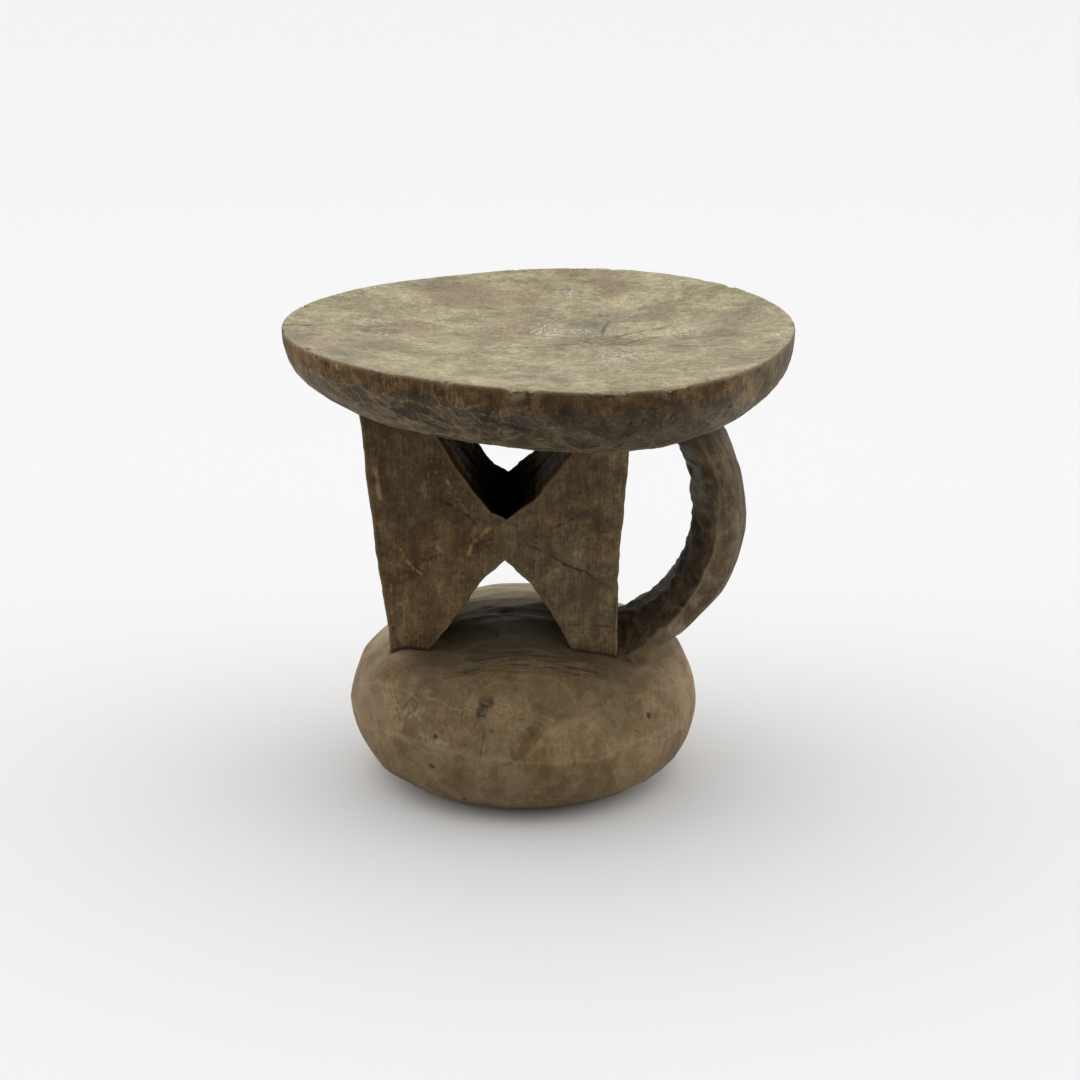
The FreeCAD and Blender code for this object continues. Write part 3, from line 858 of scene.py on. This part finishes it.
def carve_seat():
    seat = Surface(seat_field, SEAT_LOW - 2, SEAT_HIGH + 4, 0.85 * COARSER)
    x, y, z = seat.points.T
    outline, angle = seat_outline(x, y)
    below_rim = RIM_HEIGHT + waves(RIM_LIFTS, angle) - z
    sitting = ease(0.55, 0.8, seat.normals[:, 2]) * ease(1.004, 0.99, outline)
    sway = 1.8 * smooth_noise(30, 8, x, y, z)
    webbed = ease(0.25, 0.7, np.cos(angle + 2.75))  # where the ridges make a pale net
    side_cut, ridge, tone = seat_side(seat, outline, angle, below_rim, sway, webbed)
    top_cut, ray, heart = seat_top(x, y, sway)
    cracks = strokes(71, seat.points, SEAT_CRACKS)
    crumble = 1 + 0.9 * smooth_noise(27, 2.2, x, y, z)
    edge = np.exp(-((below_rim / 2.5) ** 2)) * ease(0.96, 0.985, outline)
    bites = spots(seat.points, SEAT_BITES)
    bites = bites + 1.2 * edge * ease(0.25, 0.9, layered_noise(72, 6, x, y, z))
    amount = sitting * top_cut + (1 - sitting) * side_cut
    seat.push(amount - 0.9 * cracks - bites * crumble)

    on_side = 1 - sitting
    band = ease(17, 9, below_rim + 3.5 * smooth_noise(28, 14, x, y)) * on_side
    band = band * (1 - 0.8 * ease(95, 140, x))
    lip = ease(1.7, 0.4, below_rim) * ease(0.975, 0.995, outline) * on_side
    lip = lip * (0.35 + 0.5 * ease(-0.4, 0.4, layered_noise(66, 6, x, y)))
    depth = below_rim + 8 * layered_noise(67, (15, 15, 6), x, y, z)
    fore = ease(0.35, 0.75, np.cos(angle + 1.75))
    dusky = ease(9, 17, depth) * ease(33, 23, depth) * fore * on_side
    on_top = np.stack([x, y], 1)
    ragged = on_top + 7 * np.stack([layered_noise(k, 13, x, y) for k in (68, 69)], 1)
    # Painted shade, with some crevice grime, on the seat's underside next to the block and the handle.
    grime = np.maximum(near(slab_field(x, y, z), 9), near(strap_field(x, y, z), 7))
    place(
        seat, "seat_carving", "seat", "seat_wood", seat_wood(),
        sitting=sitting, band=band, lip=lip, ray=ray,
        rosy=spots(ragged, SEAT_ROSY), dusk=dusky + sitting * spots(ragged, SEAT_DUSK),
        bits=spots(on_top, SEAT_BITS), yolk=spots(on_top, SEAT_YOLK),
        # Painted light on the front half of the seat's side, growing towards its ends and on the net of
        # ridges.
        flank=(ease(40, 130, np.abs(x - 5)) + 0.25 * webbed) * (y < 40),
        ridge=ridge * on_side, tone=tone * on_side,
        mark=np.maximum(0.9 * cracks, 0.3 * heart * sitting),
        bare=np.minimum(bites * 0.45, 0.75) * ease(-0.4, 0.4, crumble - 1),
        grime=grime * (seat.normals[:, 2] < 0.2),
    )


# Dark scratches and pale scuffs on the front of the block: strength, width, then x and height.
PANEL_SCRATCHES = (
    (0.5, 1.6, ((-58, 188), (-48, 180))),
    (0.9, 1.5, ((-50, 182), (-40, 176), (-32, 171), (-27, 166))),
    (0.6, 1.3, ((-29, 152), (-23, 155), (-18, 157))),
    (0.6, 1.6, ((-58, 144), (-53, 145), (-48, 147))),
    (0.45, 1.1, ((-9, 152), (2, 155), (11, 161), (21, 165))),
    (0.85, 1.1, ((20, 165), (28, 169), (37, 174))), (0.6, 1.1, ((2, 154), (12, 149), (24, 142))),
    (0.85, 1.1, ((23, 142), (35, 137), (45, 130), (54, 124))),
    (0.6, 0.9, ((26, 105), (38, 104.5), (52, 104))), (0.4, 0.9, ((28, 100), (44, 99))),
    (0.9, 1.2, ((-78, 107), (-77.8, 106.5))), (0.9, 1.2, ((-76, 103), (-75.8, 102.6))),
    (0.8, 1.6, ((37, 183), (37.4, 182.6))), (0.95, 1.8, ((50, 91), (51, 91.5))),
    (0.8, 1.0, ((52.3, 86), (52.6, 122))),
)
PANEL_SCUFFS = (
    (0.7, 1.9, ((-85, 199), (-83.5, 192), (-82, 181))), (0.7, 1.6, ((-44, 192), (-39, 186))),
    (0.8, 1.9, ((-26, 166), (-30, 157), (-32, 147))),
    (0.6, 1.9, ((-20, 163), (-25, 157), (-31, 156))),
    (0.8, 1.2, ((-50, 156), (-49.5, 152), (-47, 149))),
    (0.7, 0.9, ((-71, 151), (-69, 145), (-64, 140), (-59, 136))),
    (0.5, 0.9, ((-76.5, 129), (-76, 116))), (0.8, 1.2, ((-55, 212), (-54.6, 211.5))),
    (0.6, 0.9, ((-65, 205), (-64.8, 204.6))), (0.7, 0.9, ((-72, 142), (-71.8, 140.8))),
    (0.35, 0.9, ((-37, 181), (-29, 168))), (0.5, 0.7, ((53.6, 90), (53.9, 118))),
    (0.4, 0.9, ((-68, 128), (-66, 108))), (0.35, 0.9, ((-37, 150), (-38, 128))),
)


def carve_block():
    block = Surface(block_field, BLOCK_LOW - 3, BLOCK_HIGH + 4, 0.7 * COARSER)
    x, y, z = block.points.T
    flat = ease(0.55, 0.85, np.abs(block.normals[:, 1]))
    panel = 0.3 * layered_noise(31, 40, x, y, z, layers=2)
    scraped, _, scraped_tone = tool_cuts(32, x, z, (17, 46), (160, 900), tilt=0.012, depth=0.1)
    panel = panel + 0.6 * scraped + 0.07 * layered_noise(33, (2.2, 4, 24), x, y, z)
    slant = z - 0.9 * np.abs(x - WAIST)
    chops, _, chop_tone = tool_cuts(34, y, slant, (34, 7), (200, 12), tilt=0.08, depth=1.0)
    splinter = 0.7 * layered_noise(35, (4, 24, 4), x, y, z) + 0.12 * smooth_noise(36, 2.2, x, y, z)
    outside = ease(-70, -80, x) + ease(44, 50, x)
    dressed = tool_cuts(37, y, z, (22, 30), (160, 200), tilt=0.03, depth=0.3)[0]
    # Gouge marks run up the notch's walls with a lean to the back.
    gouged = 0.5 * layered_noise(40, (3.5, 40), y + 0.15 * z, z, layers=2)
    flank = (1 - outside) * (chops + splinter + gouged) + outside * (dressed + 0.2 * splinter)
    flank = flank * (0.2 + 0.8 * ease(0, 7, BLOCK_HALF_DEPTH - np.abs(y)))
    front = ease(0.5, 0.8, -block.normals[:, 1])
    on_front = np.stack([x, z], 1)
    scratches = strokes(72, on_front, PANEL_SCRATCHES) * front
    scuffs = 2.3 * strokes(73, on_front, PANEL_SCUFFS) * front
    scuffs = scuffs * ease(-0.4, 0.4, smooth_noise(38, (1.6, 1.6, 2.8), x, y, z))
    block.push(flat * panel + (1 - flat) * flank - 0.5 * scratches)

    openings = (1 - flat) * (1 - outside)
    streaky = layered_noise(39, (3, 34), y + 0.15 * z, z, layers=2)
    # Painted shade blackens the notch's walls: darkest low down, lighter higher up and on the right
    # wall.
    soot = openings * ease(150, 165, z)
    soot = soot * (1 - (0.6 + 0.3 * streaky) * ease(168, 204, z))
    soot = soot * (1 - 0.28 * ease(-5, 8, x) * ease(166, 186, z))
    # Painted glints: pale grey streaks towards the back of the notch's upper walls.
    glints = ease(0.1, 0.6, streaky) * ease(5, 40, y) * ease(165, 175, z)
    place(
        block, "block_carving", "support_block", "block_wood", panel_wood(),
        mark=0.8 * scratches, bare=np.minimum(scuffs, 0.85), soot=soot, dust=0.5 * glints * openings,
        tone=scraped_tone * flat + chop_tone * (1 - flat),
        # Painted shade under the seat and in the crease at the base, with some crevice grime.
        grime=np.maximum(0.7 * near(seat_field(x, y, z), 10), near(base_field(x, y, z), 2.2)),
    )


def carve_handle():
    handle = Surface(handle_field, HANDLE_LOW - 8, HANDLE_HIGH + 6, 0.8 * COARSER)
    x, y, z = handle.points.T
    across, up = x - HANDLE_MIDDLE[0], z - HANDLE_MIDDLE[1]
    radius = np.hypot(across, up)
    run = HANDLE_RADIUS * np.arctan2(up, across)
    outward = (handle.normals[:, 0] * across + handle.normals[:, 2] * up) / radius
    inside = ease(0.2, 0.6, -outward)
    sway = 2.5 * smooth_noise(46, 9, x, y, z)
    scallops = tool_cuts(42, y + 0.3 * run + sway, run + sway, (17, 11), (60, 34), 0.12, 0.7)
    nicks = tool_cuts(47, y - 0.5 * run - sway, run + sway, (11, 8), (60, 40), 0.1, 0.5)
    scalloped = (0.8 * scallops[0] + 1.1 * nicks[0], nicks[1] ** 2, nicks[2])
    flat_side = y + 0.6 * (radius - HANDLE_RADIUS) + sway
    facets = tool_cuts(43, flat_side, run, (15, 36), (60, 180), 0.03, 0.4)
    cuts, ridge, tone = blend_cuts(inside, scalloped, facets)
    cuts = cuts * (1 + 0.5 * inside) + 0.08 * layered_noise(44, 4, x, y, z)
    from_strap = strap_field(x, y, z)
    handle.push(handle.average(cuts, 1) * ease(8, 2, from_strap))
    handle.points[:, 2] -= 2.2 * ease(5.5, 11, from_strap)  # the skirt dips into the base

    # Painted shade on the middle of the inner face, laid with the other painted shade.
    dim = ease(190, 150, z) * (0.1 + 0.9 * ease(95, 135, z)) * inside
    # Painted shade under the seat on the handle's top and in the crease against the block, with some
    # crevice grime.
    grime = np.maximum(1.6 * near(seat_field(x, y, z), 34), near(slab_field(x, y, z), 3))
    # Painted sheen: pale grey patches on the upper inner face near its front edge.
    lit = inside * ease(158, 180, z) * ease(216, 202, z) * ease(-33, -19, y)
    lit = lit * ease(-0.5, 0.4, smooth_noise(48, (9, 9, 4), x, y, z))
    place(
        handle, "handle_carving", "handle", "handle_wood", handle_wood(),
        mark=0.5 * ridge * inside, dust=0.9 * lit, ridge=ridge * (1 - inside), tone=tone,
        bare=ease(15, 3, base_field(x, y, z)) * (1 - inside),
        grime=np.maximum(grime, 0.7 * dim),
    )


BASE_CRACKS = (
    (0.45, 1.2, ((-20, -99, 61), (-12, -100, 60), (-4, -102, 59))),
    (0.55, 1.2, ((-3, -98, 67), (6, -98, 65), (14, -99, 63))),
    (0.6, 1.1, ((-48, -93, 47), (-38, -97, 50), (-28, -99, 53))),
    (0.5, 1.2, ((-83, -62, 44), (-78, -66, 52), (-72, -72, 60), (-64, -74, 71))),
    (0.6, 1.2, ((-12, -103, 42), (-6, -104, 45), (0, -104, 49))),
    (0.6, 1.2, ((46, -69, 77), (56, -82, 62), (66, -80, 52), (70, -78, 46))),
    (0.5, 1.2, ((61, -67, 72), (71, -72, 60), (79, -67, 41))),
    (0.5, 1.1, ((37, -83, 73), (41, -89, 65))),
    (0.5, 1.1, ((28, -96, 62), (29, -99, 50), (28, -100, 40))),
    (0.5, 1.1, ((-22, -98, 60), (-24, -101, 48))),
    (0.4, 1.1, ((-3, -100, 60), (-4, -103, 48), (-2, -104, 41))),
    (0.5, 1.1, ((-85, -59, 52), (-84, -62, 44))), (0.5, 1.2, ((-34, -84, 12), (-36, -90, 22))),
    (0.5, 1.1, ((-60, -62, 79), (-46, -68, 80))),
)
BASE_SPOTS = (
    (0.9, 2.0, (73, -71, 59)), (0.8, 1.6, (-51, -90, 53)), (0.7, 2.4, (-53, -89, 34)),
    (0.5, 4.0, (3, -101, 60)), (0.9, 2.0, (-34, -84, 12)), (0.95, 4.4, (-21, -90, 74)),
    (0.95, 3.8, (-24, -93, 69)), (0.8, 5.5, (-21, 4, 97)), (0.8, 5.0, (-11, -6, 97)),
)
BASE_SCUFFS = (
    (0.6, 4.0, ((-64, -62, 78), (-46, -68, 80))), (0.5, 5.0, ((-62, -72, 73), (-50, -79, 72))),
    (0.6, 1.8, ((-20, -83, 79), (-12, -80, 80))),
    (0.5, 1.2, ((-19, -72, 83), (-4, -71, 83.5), (14, -73, 82))),
    (0.4, 1.2, ((-16, -66, 85), (0, -64, 86), (16, -65, 85))),
    (0.5, 8.0, ((-74, -58, 66), (-62, -76, 62), (-56, -82, 60))),
    (0.45, 6.0, ((-58, -84, 52), (-44, -92, 50))), (0.5, 1.6, ((-72, -44, 88), (-50, -45, 91))),
)


def carve_base():
    base = Surface(base_field, BASE_LOW, BASE_HIGH + 8, 0.9 * COARSER)
    x, y, z = base.points.T
    facing_up = ease(0.7, 0.9, base.normals[:, 2])
    sway = 3.0 * smooth_noise(57, 16, x, y, z)
    around, up = BASE_RADIUS * np.arctan2(y, x) + sway, z - WATERLINE + sway
    facets = tool_cuts(52, around, up, (29.7, 27), (220, 80), 0.03, 0.35, 22)
    hewn = tool_cuts(54, x + sway, y - sway, (17, 9), (200, 30), 0.1, 1.4)
    cuts, ridge, tone = blend_cuts(facing_up, hewn, facets)
    ripples = stroke(base.points, ((-26, -60, 86), (30, -62, 86)), 22)
    ripples = ripples * layered_noise(60, (16, 2.6), x, y)
    swell = 0.6 * layered_noise(51, 60, x, y, z, layers=2)
    rough = 0.07 * layered_noise(53, 4, x, y, z)
    amount = base.average(cuts, 1) + swell + rough + 0.9 * ripples
    resting = ease(0.8, 0.95, -base.normals[:, 2])
    cracks = strokes(74, base.points, BASE_CRACKS)
    dark_spots = spots(base.points, BASE_SPOTS)
    base.push((1 - resting) * amount - 0.7 * cracks - 0.9 * dark_spots)

    crumble = ease(-0.4, 0.2, layered_noise(55, 2.4, x, y, z))
    ragged = y + 6 * layered_noise(56, 22, x, y)
    line = z - 47 - 2.5 * smooth_noise(58, (26, 26, 90), x, y, z)
    worn_line = np.exp(-((line / 1.3) ** 2)) * ease(-0.5, 0.3, smooth_noise(59, 17, x, y, z))
    # Painted shadow on the base's top under the block and the seat, fading forward of the feet.
    under_block = ease(-96, -42, ragged) * ease(14, 4, ragged - 0.5 * x)
    under_block = under_block * ease(80, 55, np.abs(x)) * ease(60, 80, z)
    place(
        base, "base_carving", "base", "base_wood", base_wood(),
        mark=np.maximum(0.75 * cracks, dark_spots * (0.3 + 0.7 * crumble)), tone=tone,
        bare=strokes(75, base.points, BASE_SCUFFS) * crumble, moss=0.62 * under_block,
        # Pale dust at the back, partly painted light where light from behind reaches the base's top.
        dust=0.8 * facing_up * ease(5, 25, ragged - 0.3 * x),
        ridge=np.maximum(ridge**2.4, 0.8 * worn_line * (1 - facing_up)),
        # Painted shade in the crease against the block and under it, with some crevice grime.
        grime=np.maximum(near(slab_field(x, y, z), 2.6), 0.3 * under_block),
    )


# -------------------------------- studio


def plain_material(name, color, roughness):
    material = bpy.data.materials.new(name)
    material.use_nodes = True
    shader = material.node_tree.nodes["Principled BSDF"]
    shader.inputs["Base Color"].default_value = (*color, 1)
    shader.inputs["Roughness"].default_value = roughness
    shader.inputs["Specular IOR Level"].default_value = 0.1
    return material


def make_floor(reach=14.0):
    mesh = bpy.data.meshes.new("floor")
    corners = [(-reach, -reach, 0), (reach, -reach, 0), (reach, reach, 0), (-reach, reach, 0)]
    mesh.from_pydata(corners, [], [(0, 1, 2, 3)])
    mesh.materials.append(plain_material("pale_floor", (0.875, 0.875, 0.875), 0.9))
    add_object("floor", mesh)


def add_light(name, location, target, size, power):
    light = bpy.data.lights.new(name, "AREA")
    light.shape = "DISK"
    light.size = size
    light.energy = power
    lamp = add_object(name, light)
    lamp.location = location
    lamp.rotation_euler = (Vector(target) - Vector(location)).to_track_quat("-Z", "Y").to_euler()


def light_studio():
    """Soft white surroundings, brighter behind and beside the stool than in front of it."""
    world = bpy.data.worlds.new("soft_studio")
    bpy.context.scene.world = world
    world.use_nodes = True
    studio = Nodes(world.node_tree)
    direction = studio.node("TexCoord", {}, "Generated")
    sideways, backwards = (
        studio.node("SeparateXYZ", {0: direction}, axis) for axis in ("X", "Y")
    )
    behind = studio.span(backwards, -0.9, -0.05, 0.2, 1.12, "LINEAR")
    beside = studio.span(studio.math("ABSOLUTE", sideways), 0.55, 1.0, 0.0, 0.75, "LINEAR")
    background = world.node_tree.nodes["Background"]
    studio.feed(background.inputs["Color"], (1, 1, 1))
    studio.feed(background.inputs["Strength"], studio.math("ADD", behind, beside))
    add_light("overhead", (0, 0.1, 2.4), (0, 0, 0.15), 2.4, 4)
    bpy.context.scene.view_settings.view_transform = "Standard"
    bpy.context.scene.view_settings.look = "None"


def aim_camera():
    """A long lens from the front, 18 degrees above the stool's middle."""
    distance, lift = 1.5, math.radians(17.97)
    target = Vector((0.0094, 0, 0.1422))
    camera = bpy.data.cameras.new("camera")
    camera.sensor_width = 36.0
    camera.lens = 84.2
    camera.clip_end = 60
    viewer = add_object("camera", camera)
    viewer.location = target + distance * Vector((0, -math.cos(lift), math.sin(lift)))
    viewer.rotation_euler = (math.pi / 2 - lift, 0, 0)
    bpy.context.scene.camera = viewer


carve_seat()
carve_block()
carve_handle()
carve_base()
make_floor()
light_studio()
aim_camera()
